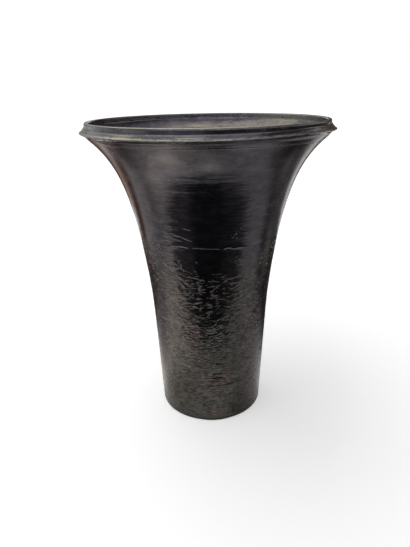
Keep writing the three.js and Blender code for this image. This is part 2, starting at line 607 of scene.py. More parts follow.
class Recipe:
    """Adds nodes to a node tree and joins them."""

    def __init__(self, tree: bpy.types.NodeTree) -> None:
        """Keeps the tree that the recipe writes to."""
        self.tree = tree

    def set(self, node: bpy.types.Node, inputs: dict[str | int, Any]) -> None:
        """Gives a node's sockets their values, or joins them to other sockets."""
        for key, value in inputs.items():
            socket = node.inputs[key]
            if isinstance(value, Socket):
                self.tree.links.new(value, socket)
            else:
                socket.default_value = value

    def add(self, kind: str, inputs: dict[str | int, Any] | None = None, **settings: Any) -> bpy.types.Node:
        """Adds a node.

        Args:
            kind: The node's type without its ShaderNode prefix.
            inputs: Values or sockets for its inputs.
            settings: The node's own settings.

        Returns:
            The new node.
        """
        prefix = "" if kind.startswith("Node") else "ShaderNode"
        node = self.tree.nodes.new(prefix + kind)
        for key, value in settings.items():
            setattr(node, key, value)
        self.set(node, inputs or {})
        return node

    def math(self, operation: str, *values: Any, clamp: bool = False) -> Socket:
        """Adds a Math node and returns its result."""
        node = self.add("Math", dict(enumerate(values)), operation=operation, use_clamp=clamp)
        return node.outputs[0]

    def vector(self, operation: str, *values: Any) -> Socket:
        """Adds a Vector Math node and returns its vector."""
        return self.add("VectorMath", dict(enumerate(values)), operation=operation).outputs[0]

    def total(self, *values: Any) -> Socket:
        """Adds several values up."""
        result = values[0]
        for value in values[1:]:
            result = self.math("ADD", result, value)
        return result

    def product(self, *values: Any) -> Socket:
        """Multiplies several values."""
        result = values[0]
        for value in values[1:]:
            result = self.math("MULTIPLY", result, value)
        return result

    def ramp(self, value: Any, low: Any, high: Any, start: Any = 0.0, end: Any = 1.0) -> Socket:
        """Maps a value smoothly from one range to another."""
        inputs = {"Value": value, "From Min": low, "From Max": high, "To Min": start, "To Max": end}
        return self.add("MapRange", inputs, interpolation_type="SMOOTHSTEP").outputs[0]

    def mix(self, share: Any, first: Any, second: Any) -> Socket:
        """Mixes two colours and returns the result."""
        node = self.add("Mix", {"Factor": share}, data_type="RGBA")
        for socket, value in zip((node.inputs[6], node.inputs[7]), (first, second)):
            if isinstance(value, Socket):
                self.tree.links.new(value, socket)
            else:
                socket.default_value = (*value, 1.0)
        return node.outputs[2]

    def noise(self, coords: Any, scale: Any, detail: float, rough: float = 0.55) -> Socket:
        """Adds a noise texture and returns its value."""
        inputs = {"Vector": coords, "Scale": scale, "Detail": detail, "Roughness": rough}
        return self.add("TexNoise", inputs).outputs["Fac"]

    def attribute(self, name: str) -> Socket:
        """Reads a value that the mesh keeps at its points."""
        return self.add("Attribute", attribute_name=name).outputs["Fac"]

    def use(self, group: Tree, inputs: dict[str, Any]) -> bpy.types.NodeOutputs:
        """Adds a shared node group and returns its outputs."""
        return self.add("Group", inputs, node_tree=group).outputs

    def stretch(self, coords: Any, across: Any, upwards: Any) -> Socket:
        """Scales coordinates by one number across the vase and another along its axis."""
        scale = self.add("CombineXYZ", {0: across, 1: across, 2: upwards}).outputs[0]
        return self.vector("MULTIPLY", coords, scale)


class Group(Recipe):
    """A recipe for a shared node group, with the group's own inputs and outputs."""

    def __init__(self, name: str, inputs: dict[str, float | None], outputs: Sequence[str]) -> None:
        """Starts the group.

        Args:
            name: The group's name.
            inputs: Its inputs with their default values, None for a vector.
            outputs: The names of its outputs.
        """
        super().__init__(bpy.data.node_groups.new(name, "ShaderNodeTree"))
        for key, default in inputs.items():
            kind = "NodeSocketVector" if default is None else "NodeSocketFloat"
            socket = self.tree.interface.new_socket(key, in_out="INPUT", socket_type=kind)
            if default is not None:
                socket.default_value = default
        for key in outputs:
            self.tree.interface.new_socket(key, in_out="OUTPUT", socket_type="NodeSocketFloat")
        self.given = self.add("NodeGroupInput").outputs
        self.result = self.add("NodeGroupOutput").inputs

    def per(self, key: str) -> Socket:
        """The scale that makes a pattern as large as one of the inputs says."""
        return self.math("DIVIDE", 1.0, self.given[key])

    def give(self, values: dict[str, Socket]) -> Tree:
        """Joins values to the group's outputs, and returns the finished group."""
        for key, value in values.items():
            self.tree.links.new(value, self.result[key])
        return self.tree


class Effects:
    """Surface effects that the finishes share, each a node group that is built once."""

    @cached_property
    def throwing_lines(self) -> Tree:
        """Fine lines round the vase, from wet fingers and the rib: a height from 0 to 1."""
        group = Group("throwing_lines", {"Vector": None, "Pitch": 0.0025, "Length": 0.06}, ["Height"])
        coords = group.stretch(group.given["Vector"], group.per("Length"), group.per("Pitch"))
        return group.give({"Height": group.noise(coords, 1.0, 3.0, 0.62)})

    @cached_property
    def wrinkle_tops(self) -> Tree:
        """The sharp ragged tops of the wrinkles, along the zero lines of a fold: a height from 0 to 1."""
        sizes = {"Width": 0.20, "Rag": 0.17, "Grain": 0.0028, "Piece": 0.0056}
        group = Group("wrinkle_tops", {"Vector": None, "Fold": 1.0, "Crumple": 0.0, **sizes}, ["Height"])
        given = group.given
        rag = group.math("SUBTRACT", group.noise(given["Vector"], group.per("Grain"), 1.5), 0.5)
        away = group.math("ABSOLUTE", group.total(given["Fold"], group.product(rag, given["Rag"])))
        ridge = group.ramp(away, 0.0, given["Width"], 1.0, 0.0)
        pieces = group.noise(given["Vector"], group.per("Piece"), 1.0)
        broken = group.ramp(pieces, 0.45, 0.60, 0.04, 1.0)
        return group.give({"Height": group.product(ridge, broken, given["Crumple"])})

    @cached_property
    def drawn_line(self) -> Tree:
        """One thin line across the wall, such as a scratch or a ridge of slip: a height from 0 to 1."""
        places = {"Turn": 0.0, "Reach": 0.1, "Level": 0.1, "At Turn": 0.0, "At Level": 0.1}
        sizes = {"Length": 0.01, "Width": 0.001, "Tilt": 0.0}
        group = Group("drawn_line", places | sizes, ["Height"])
        given = group.given
        across = group.product(group.math("SUBTRACT", given["Turn"], given["At Turn"]), given["Reach"])
        up = group.math("SUBTRACT", given["Level"], given["At Level"])
        cosine, sine = (group.math(kind, given["Tilt"]) for kind in ("COSINE", "SINE"))
        along = group.total(group.product(across, cosine), group.product(up, sine))
        aside = group.math("SUBTRACT", group.product(up, cosine), group.product(across, sine))
        full = group.product(given["Length"], 0.6)
        ends = group.ramp(group.math("ABSOLUTE", along), full, given["Length"], 1.0, 0.0)
        flanks = group.ramp(group.math("ABSOLUTE", aside), 0.0, given["Width"], 1.0, 0.0)
        return group.give({"Height": group.product(ends, flanks)})

    @cached_property
    def mottle(self) -> Tree:
        """Clouds where the glaze lies thicker or thinner, and finer flecks within them."""
        group = Group("mottle", {"Vector": None, "Size": 0.02, "Fleck": 0.0015}, ["Cloud", "Flecks"])
        cloud = group.noise(group.given["Vector"], group.per("Size"), 4.0)
        flecks = group.noise(group.given["Vector"], group.per("Fleck"), 2.0, 0.6)
        return group.give({"Cloud": group.ramp(cloud, 0.36, 0.66), "Flecks": group.ramp(flecks, 0.50, 0.72)})

    @cached_property
    def wear(self) -> Tree:
        """Where the glaze shines less: fine spots and soft clouds, each a mask from 0 to 1."""
        sizes = {"Spot": 0.0022, "Cloud": 0.012, "Flatten": 1.6}
        group = Group("wear", {"Vector": None, **sizes}, ["Spots", "Clouds"])
        flat = group.stretch(group.given["Vector"], 1.0, group.given["Flatten"])
        spots = group.noise(flat, group.per("Spot"), 2.0, 0.6)
        clouds = group.noise(flat, group.per("Cloud"), 4.0, 0.6)
        return group.give({"Spots": group.ramp(spots, 0.46, 0.66), "Clouds": group.ramp(clouds, 0.40, 0.66)})

    @cached_property
    def grain(self) -> Tree:
        """Grain that runs round the vase, finer upwards than across: a value from 0 to 1."""
        group = Group("grain", {"Vector": None, "Length": 0.0036, "Rise": 0.0016}, ["Value"])
        coords = group.stretch(group.given["Vector"], group.per("Length"), group.per("Rise"))
        return group.give({"Value": group.ramp(group.noise(coords, 1.0, 2.0, 0.65), 0.34, 0.66)})

    @cached_property
    def pinholes(self) -> Tree:
        """Small craters that burst bubbles leave in the glaze: a height of 0, and -1 in a crater."""
        sizes = {"Spacing": 0.006, "Width": 0.0006, "Share": 0.4}
        group = Group("pinholes", {"Vector": None, **sizes}, ["Height"])
        given = group.given
        cells = group.add("TexVoronoi", {"Vector": given["Vector"], "Scale": group.per("Spacing")}).outputs
        width = group.math("DIVIDE", given["Width"], given["Spacing"])
        crater = group.ramp(cells["Distance"], 0.0, width, 1.0, 0.0)
        pick = group.add("SeparateColor", {0: cells["Color"]}).outputs[0]
        chosen = group.math("LESS_THAN", pick, given["Share"])
        return group.give({"Height": group.product(crater, chosen, -1.0)})


def fresh(name: str) -> tuple[Material, Recipe]:
    """Makes an empty material and the recipe that fills it."""
    material = bpy.data.materials.new(name)
    material.use_nodes = True
    material.node_tree.nodes.clear()
    return material, Recipe(material.node_tree)


@dataclass(frozen=True)
class Blisters:
    """A small patch of blisters in the glaze, placed like a mark."""

    angle: float
    level: float
    radius: float
    reach: float

    @property
    def place(self) -> Vector:
        """The patch's centre in the vase's frame."""
        turn = math.radians(self.angle)
        return Vector((self.radius * math.sin(turn), -self.radius * math.cos(turn), self.level))


def wall_blisters() -> list[Blisters]:
    """The patches of blisters on the front of the wall."""
    return [
        Blisters(24.9, 0.2708, 0.0931, 0.007),
        Blisters(18.0, 0.2639, 0.0915, 0.006),
        Blisters(-25.3, 0.2246, 0.0844, 0.006),
        Blisters(-10.3, 0.2295, 0.0851, 0.004),
    ]


@dataclass
class Place:
    """Where a shaded point lies on the vase, with the recipe and the effects that its finish is made of."""

    recipe: Recipe
    effects: Effects
    coords: Socket
    turn: Socket
    reach: Socket
    level: Socket

    @classmethod
    def read(cls, recipe: Recipe, effects: Effects) -> "Place":
        """Adds the nodes that find the point's turn from the front, its reach and its level.

        Args:
            recipe: The material's recipe.
            effects: The shared effects.

        Returns:
            The place.
        """
        coords = recipe.add("TexCoord").outputs["Object"]
        parts = recipe.add("SeparateXYZ", {0: coords}).outputs
        turn = recipe.math("ARCTAN2", parts[0], recipe.math("MULTIPLY", parts[1], -1.0))
        across = recipe.vector("MULTIPLY", coords, (1.0, 1.0, 0.0))
        reach = recipe.add("VectorMath", {0: across}, operation="LENGTH").outputs["Value"]
        return cls(recipe, effects, coords, turn, reach, parts[2])

    def pattern(self, group: Tree, **inputs: Any) -> bpy.types.NodeOutputs:
        """Adds a shared node group at the point, and returns its outputs."""
        return self.recipe.use(group, {"Vector": self.coords, **inputs})

    def by_level(self, low: float, high: float, start: float = 0.0, end: float = 1.0) -> Socket:
        """A value that changes smoothly from one level to another."""
        return self.recipe.ramp(self.level, low, high, start, end)


@dataclass(frozen=True)
class Glaze:
    """The dark metallic glaze: coarse on the wrinkled lower body, streaked and smoother on the trumpet."""

    name: str
    # Colours high and low on the wall, in patches and in specks, and the pale colour of thin glaze, which
    # also paints highlights.
    high: Colour = (0.0580, 0.0560, 0.0625)
    low: Colour = (0.0610, 0.0588, 0.0540)
    rosy: Colour = (0.0690, 0.0590, 0.0570)
    mossy: Colour = (0.0580, 0.0610, 0.0535)
    speck: Colour = (0.0160, 0.0090, 0.0080)
    # Pale colour of thin glaze, also used for painted highlights.
    thin: Colour = (0.1420, 0.1350, 0.1270)
    thin_metal: float = 0.55
    low_from: float = 0.290
    low_to: float = 0.110
    # How the patches, specks, grain and clouds change the colour.
    tint_size: float = 0.022
    tint_share: float = 0.85
    tint_from: float = 0.50
    tint_to: float = 0.64
    mossy_start: tuple[float, float, float] = (0.37, 0.11, 0.53)
    speck_size: float = 0.0016
    speck_share: float = 0.30
    speck_least: float = 0.10
    speck_full: float = 0.6
    grain_low: float = 0.58
    grain_high: float = 0.16
    grain_swing: float = 0.8
    cloud_size: float = 0.014
    patch_share: float = 0.38
    fleck: float = 1.0
    # Roughness on the wall, and where it changes.
    shine: float = 0.085
    trumpet_dull: float = 0.15
    trumpet_from: float = 0.240
    trumpet_to: float = 0.325
    dull: float = 0.17
    dull_cloud: float = 0.07
    dull_from: float = 0.150
    dull_to: float = 0.095
    crest_dull: float = 0.12
    # The coarse relief, strongest low down.
    coarse_from: float = 0.160
    coarse_to: float = 0.100
    coarse_least: float = 0.14
    mottle_size: float = 0.0030
    mottle_depth: float = 0.00034
    grain_length: float = 0.0062
    grain_rise: float = 0.0016
    grain_depth: float = 0.00010
    hole_spacing: float = 0.0042
    hole_width: float = 0.0009
    hole_share: float = 0.35
    hole_depth: float = 0.00022
    # The streaks on the trumpet.
    streaked_from: float = 0.236
    streaked_to: float = 0.262
    streak_pitch: float = 0.0018
    streak_length: float = 0.030
    streak_depth: float = 0.00010
    # The tops of the wrinkles, whose pale colour is partly thin glaze and partly a painted highlight.
    wrinkle_depth: float = 0.00034
    wrinkle_pale: float = 0.34
    # The drawn lines, whose raised ridges are painted pale: partly thin glaze and partly a painted
    # highlight.
    lines: Sequence[Mark] = ()
    line_waver: float = 0.0009
    line_bends: float = 85.0
    full_cut: float = 0.00024
    ridge_pale: float = 0.28
    # The blisters.
    blisters: Sequence[Blisters] = ()
    blister_spacing: float = 0.0026
    blister_width: float = 0.0012
    blister_height: float = 0.00060
    blister_share: float = 0.75

    def bubbled(self, place: Place) -> Socket:
        """Height of the blisters in metres."""
        recipe = place.recipe
        sizes = {"Spacing": self.blister_spacing, "Width": self.blister_width, "Share": self.blister_share}
        raised = place.pattern(place.effects.pinholes, **sizes)["Height"]
        shares = []
        for patch in self.blisters:
            inputs = {0: place.coords, 1: patch.place}
            away = recipe.add("VectorMath", inputs, operation="DISTANCE").outputs["Value"]
            shares.append(recipe.ramp(away, 0.5 * patch.reach, patch.reach, 1.0, 0.0))
        return recipe.product(raised, recipe.total(*shares), -self.blister_height)

    def drawn(self, place: Place) -> Socket:
        """Height of the thin drawn lines in metres."""
        recipe = place.recipe
        waver = recipe.noise(place.coords, self.line_bends, 3.0)
        waver = recipe.ramp(waver, 0.2, 0.8, -self.line_waver, self.line_waver)
        level = recipe.math("ADD", place.level, waver)
        heights = []
        for line in self.lines:
            inputs = {"Turn": place.turn, "Reach": place.reach, "Level": level}
            inputs |= {"At Turn": math.radians(line.angle), "At Level": line.level}
            inputs |= {"Length": line.length, "Width": line.width, "Tilt": math.radians(line.tilt)}
            shape = recipe.use(place.effects.drawn_line, inputs)["Height"]
            heights.append(recipe.math("MULTIPLY", shape, -line.depth))
        return recipe.total(*heights)

    def tops(self, place: Place) -> Socket:
        """The sharp tops of the wrinkles, from 0 to 1."""
        fold, crumple = (place.recipe.attribute(name) for name in (FOLD, CRUMPLE))
        return place.pattern(place.effects.wrinkle_tops, Fold=fold, Crumple=crumple)["Height"]

    def height(self, place: Place, tops: Any, grain: Any, drawn: Any) -> Socket:
        """Fine relief of the glaze.

        Args:
            place: Where the point lies.
            tops: The sharp tops of the wrinkles.
            grain: The grain's value.
            drawn: Height of the drawn lines.

        Returns:
            The height in metres.
        """
        recipe = place.recipe
        coarse = place.by_level(self.coarse_from, self.coarse_to, self.coarse_least, 1.0)
        streaked = place.by_level(self.streaked_from, self.streaked_to)
        mottle = recipe.noise(place.coords, 1.0 / self.mottle_size, 1.5, 0.5)
        sizes = {"Pitch": self.streak_pitch, "Length": self.streak_length}
        streaks = place.pattern(place.effects.throwing_lines, **sizes)["Height"]
        sizes = {"Spacing": self.hole_spacing, "Width": self.hole_width, "Share": self.hole_share}
        holes = place.pattern(place.effects.pinholes, **sizes)["Height"]
        heights = [
            recipe.product(mottle, coarse, self.mottle_depth),
            recipe.product(grain, coarse, self.grain_depth),
            recipe.product(streaks, streaked, self.streak_depth),
            recipe.product(tops, self.wrinkle_depth),
            recipe.product(holes, coarse, self.hole_depth),
            drawn,
        ]
        if self.blisters:
            heights.append(self.bubbled(place))
        return recipe.total(*heights)

    def colour(
        self, place: Place, wear: bpy.types.NodeOutputs, grain: Socket, crest: Socket, cut: Socket
    ) -> Socket:
        """Colour of the glaze, warmer low down, in rosy and mossy patches, with specks, thin edges and
        painted highlights.

        Args:
            place: Where the point lies.
            wear: The masks of spots and clouds.
            grain: The grain's value.
            crest: How pale the glaze is painted, for thin glaze and for painted highlights.
            cut: How deep a tool has cut.

        Returns:
            The colour.
        """
        recipe = place.recipe
        low = place.by_level(self.low_from, self.low_to)
        body = recipe.mix(low, self.high, self.low)
        far = recipe.vector("ADD", place.coords, self.mossy_start)
        for coords, tint in ((place.coords, self.rosy), (far, self.mossy)):
            cover = recipe.noise(coords, 1.0 / self.tint_size, 2.0)
            patch = recipe.ramp(cover, self.tint_from, self.tint_to)
            body = recipe.mix(recipe.product(patch, low, self.tint_share), body, tint)
        share = recipe.ramp(low, 0.0, self.speck_full, self.speck_least, self.speck_share)
        body = recipe.mix(recipe.product(wear["Spots"], share), body, self.speck)
        depth = recipe.ramp(low, 0.0, 1.0, self.grain_high, self.grain_low)
        light = recipe.product(recipe.ramp(grain, 0.0, 1.0, -self.grain_swing, self.grain_swing), depth)
        light = recipe.total(1.0, light, recipe.product(wear["Clouds"], self.patch_share))
        body = recipe.add("VectorMath", {0: body, "Scale": light}, operation="SCALE").outputs[0]
        body = recipe.mix(cut, body, self.speck)
        return recipe.mix(crest, body, self.thin)

    def material(self, effects: Effects) -> Material:
        """Builds the finish.

        Args:
            effects: The shared effects.

        Returns:
            The finished material.
        """
        material, recipe = fresh(self.name)
        place = Place.read(recipe, effects)
        wear = place.pattern(effects.wear, Spot=self.speck_size, Cloud=self.cloud_size)
        grain = place.pattern(effects.grain, Length=self.grain_length, Rise=self.grain_rise)["Value"]
        tops = self.tops(place)
        drawn = self.drawn(place) if self.lines else 0.0
        cut = recipe.math("MULTIPLY", drawn, -1.0 / self.full_cut, clamp=True)
        # Raised lines are painted pale: partly thin glaze, partly a painted highlight.
        proud = recipe.math("MULTIPLY", drawn, self.ridge_pale / self.full_cut, clamp=True)
        flecked = recipe.ramp(wear["Spots"], 0.0, 1.0, 1.0, self.fleck)
        # The crest paints the glaze pale: thin glaze, and painted highlights on edges, ridges and wrinkle
        # tops.
        thinned_and_highlit = recipe.product(recipe.attribute(CREST), flecked)
        thinned_and_highlit = recipe.total(thinned_and_highlit, recipe.product(tops, self.wrinkle_pale), proud)
        crest = recipe.math("MINIMUM", thinned_and_highlit, 1.0)
        low = place.by_level(self.dull_from, self.dull_to, 0.0, self.dull - self.shine)
        high = place.by_level(self.trumpet_from, self.trumpet_to, self.shine, self.trumpet_dull)
        clouded = recipe.product(wear["Clouds"], self.dull_cloud)
        height = self.height(place, tops, grain, drawn)
        bump = recipe.add("Bump", {"Height": height, "Distance": 1.0})
        shader = recipe.add("BsdfPrincipled", {
            "Base Color": self.colour(place, wear, grain, crest, cut),
            "Metallic": recipe.ramp(crest, 0.0, 1.0, 1.0, self.thin_metal),
            "Roughness": recipe.total(low, high, clouded, recipe.product(crest, self.crest_dull)),
            "IOR": 1.55,
            "Normal": bump.outputs[0],
        })
        recipe.add("OutputMaterial", {"Surface": shader.outputs[0]})
        return material


def wall_glaze() -> Glaze:
    """The glaze on the outside of the walls, with its drawn lines and blisters."""
    return Glaze("glaze_outside", lines=wall_lines(), blisters=wall_blisters())


def inner_glaze() -> Glaze:
    """The glaze inside, which is duller, more flecked and violet."""
    violet = (0.059, 0.055, 0.064)
    return Glaze(
        "glaze_inside", high=violet, low=violet, thin=(0.170, 0.165, 0.150), thin_metal=0.60, shine=0.16,
        dull=0.22, trumpet_dull=0.16, speck_size=0.0015, speck_least=0.30, coarse_least=0.40, fleck=0.50,
    )


def rim_glaze() -> Glaze:
    """The glaze of the lip and the collar, which is smoother and has shorter streaks."""
    return Glaze(
        "glaze_rim", coarse_least=0.30, streak_length=0.020, shine=0.08, trumpet_dull=0.12, fleck=0.45,
    )


@dataclass(frozen=True)
class GlazedFoot:
    """The foot, glazed outside down to a ragged line, with bare dark clay below and underneath."""

    name: str
    glaze: Glaze
    clay: Colour = (0.034, 0.027, 0.022)
    grit: Colour = (0.020, 0.016, 0.014)
    glaze_line: float = 0.0038
    line_waver: float = 0.0012
    line_from: float = -0.0002
    line_to: float = 0.0003
    outside_from: float = 0.066
    clay_roughness: float = 0.85
    cloud_size: float = 0.012
    cloud_dull: float = 0.08
    fleck_size: float = 0.0009
    fleck_share: float = 0.8
    grain_scale: float = 1100.0
    grain_depth: float = 0.00008
    glaze_depth: float = 0.00025

    def material(self, effects: Effects) -> Material:
        """Builds the finish.

        Args:
            effects: The shared effects.

        Returns:
            The finished material.
        """
        material, recipe = fresh(self.name)
        place = Place.read(recipe, effects)
        mottle = place.pattern(effects.mottle, Size=self.cloud_size, Fleck=self.fleck_size)
        waver = recipe.math("MULTIPLY", mottle["Cloud"], self.line_waver)
        above = recipe.math("SUBTRACT", place.level, recipe.math("ADD", waver, self.glaze_line))
        outside = recipe.math("GREATER_THAN", place.reach, self.outside_from)
        glazed = recipe.product(recipe.ramp(above, self.line_from, self.line_to), outside)
        clay = recipe.mix(recipe.math("MULTIPLY", mottle["Flecks"], self.fleck_share), self.clay, self.grit)
        colour = recipe.mix(glazed, clay, self.glaze.low)
        shine = recipe.total(self.glaze.dull, recipe.product(mottle["Cloud"], self.cloud_dull))
        rough = recipe.ramp(glazed, 0.0, 1.0, self.clay_roughness, shine)
        grain = recipe.math("MULTIPLY", recipe.noise(place.coords, self.grain_scale, 3.0), self.grain_depth)
        step = recipe.math("MULTIPLY", glazed, self.glaze_depth)
        bump = recipe.add("Bump", {"Height": recipe.math("ADD", grain, step), "Distance": 1.0})
        shader = recipe.add("BsdfPrincipled", {
            "Base Color": colour,
            "Metallic": glazed,
            "Roughness": rough,
            "IOR": 1.45,
            "Normal": bump.outputs[0],
        })
        recipe.add("OutputMaterial", {"Surface": shader.outputs[0]})
        return material


@dataclass
class Base:
    """The turned foot ring and the floor that closes the vase."""

    line: WallLine
    relief: ThrownRelief
    # The foot's outline.
    edge_radius: float = 0.0025
    bore_draft: float = 0.0020
    bore_bevel: float = 0.0008
    floor_seat: float = 0.0060
    flat_width: float = 0.003
    still: float = 0.0015
    # The lump of glaze that has run down at the front.
    lump_reach: float = 0.00055
    lump_angle: float = 4.0
    lump_width: float = 13.0
    lump_full: float = 0.0020
    lump_top: float = 0.0075
    # The floor, with its cove and the spiral of the fingers.
    cove_radius: float = 0.0070
    cove_land: float = 0.0012
    floor_taper: float = 0.0006
    underside_drop: float = 0.004
    floor_rings: int = 34
    floor_wave: float = 0.00030
    floor_ring: float = 0.0075
    floor_still: float = 0.006

    def __post_init__(self) -> None:
        """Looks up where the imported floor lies."""
        self.floor_low, self.floor_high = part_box("floor_disc")

    def foot_skin(self, point: Vector) -> Skin:
        """The skin of the foot, with the wall's wobble and a run of glaze at the front."""
        turn = bearing(point)
        if axis_distance(point) < self.line.foot_radius - self.edge_radius:
            return Skin()
        run = math.exp(-(((math.degrees(turn) - self.lump_angle) / self.lump_width) ** 4))
        run *= smooth(self.lump_top, self.lump_full, point.z)
        share = smooth(0.0, self.still, point.z)
        grit = self.relief.grit_depth * self.relief.grit(point)
        return Skin(share * (self.relief.wander(turn, point.z) + grit + self.lump_reach * run))

    def build_foot(self, material: Material) -> None:
        """Builds the foot ring."""
        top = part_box("foot_ring")[1].z
        edge = self.line.foot_radius - self.edge_radius
        bore = self.line.inner(top) - self.floor_seat
        joint = top + SLIP / 2
        outside = self.line.points(False, self.edge_radius, joint, 8)
        outline = [
            at(edge - self.flat_width, 0.0),
            *arc((edge, self.edge_radius), self.edge_radius, -90, -9, 9),
            *outside,
            *[at(self.line.radius(joint) * (1 - t) + bore * t, joint) for t in (0.25, 0.5, 0.75, 1.0)],
            at(bore + self.bore_draft * 0.9, self.bore_bevel),
            at(bore + self.bore_draft * 1.3, 0.0),
        ]
        make_piece("foot_ring", "turned", outline, self.foot_skin, [material])

    def floor_skin(self, point: Vector) -> Skin:
        """The skin of the floor, with the spiral that the fingers leave."""
        low, high = self.floor_low, self.floor_high
        out = axis_distance(point)
        if point.z < (low.z + high.z) / 2 - self.underside_drop:
            return Skin(inside=True)
        wound = out / self.floor_ring - math.atan2(point.y, point.x) / math.tau
        fade = smooth(0.0, self.floor_still, out) * smooth(high.x, high.x - self.floor_still, out)
        return Skin(fade * self.floor_wave * math.sin(math.tau * wound), inside=True)

    def build_floor(self, material: Material) -> None:
        """Builds the floor with its cove."""
        low, high = self.floor_low, self.floor_high
        rim = high.x
        cove = (rim - self.cove_land - self.cove_radius, high.z)
        flat = high.z - self.cove_radius
        steps = self.floor_rings
        outline = [
            at(0.0, low.z),
            at(rim * 0.5, low.z),
            at(rim - self.floor_taper, low.z),
            at(rim, high.z),
            *arc(cove, self.cove_radius, 0, -90, 10),
            *[at(cove[0] * (1 - i / steps), flat) for i in range(1, steps + 1)],
        ]
        make_piece("floor_disc", "thrown", outline, self.floor_skin, [material], is_ring=False)

    def build(self, foot: Material, floor: Material) -> None:
        """Builds both pieces."""
        self.build_foot(foot)
        self.build_floor(floor)


@dataclass
class Walls:
    """The thrown lower section and the trumpet that is joined to it."""

    line: WallLine
    relief: ThrownRelief
    wrinkled_from: float = 0.098
    plain_rows: int = 80
    wrinkled_rows: int = 206
    flare_rows: int = 210
    lower_inner_rows: int = 46
    flare_inner_rows: int = 56
    lower_wedge_steps: int = 18

    def build_lower(self, finishes: Sequence[Material]) -> None:
        """Builds the lower section."""
        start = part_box("lower_wall")[0].z - SLIP / 2
        seam = self.relief.seam
        outline = [
            *self.line.points(False, start, self.wrinkled_from, self.plain_rows)[:-1],
            *self.line.points(False, self.wrinkled_from, seam, self.wrinkled_rows),
            *self.line.points(True, seam, start, self.lower_inner_rows),
        ]
        skin, steps = self.relief.skin, self.lower_wedge_steps
        make_piece("lower_wall", "thrown", outline, skin, finishes, steps=steps)

    def build_flare(self, finishes: Sequence[Material]) -> None:
        """Builds the trumpet."""
        end = self.line.throat + SLIP / 2
        outline = [
            *self.line.points(False, self.relief.seam, end, self.flare_rows),
            *self.line.points(True, end, self.relief.seam, self.flare_inner_rows),
        ]
        make_piece("flared_wall", "thrown", outline, self.relief.skin, finishes)

    def build(self, outside: Material, inside: Material) -> None:
        """Builds both pieces."""
        self.build_lower([outside, inside])
        self.build_flare([outside, inside])


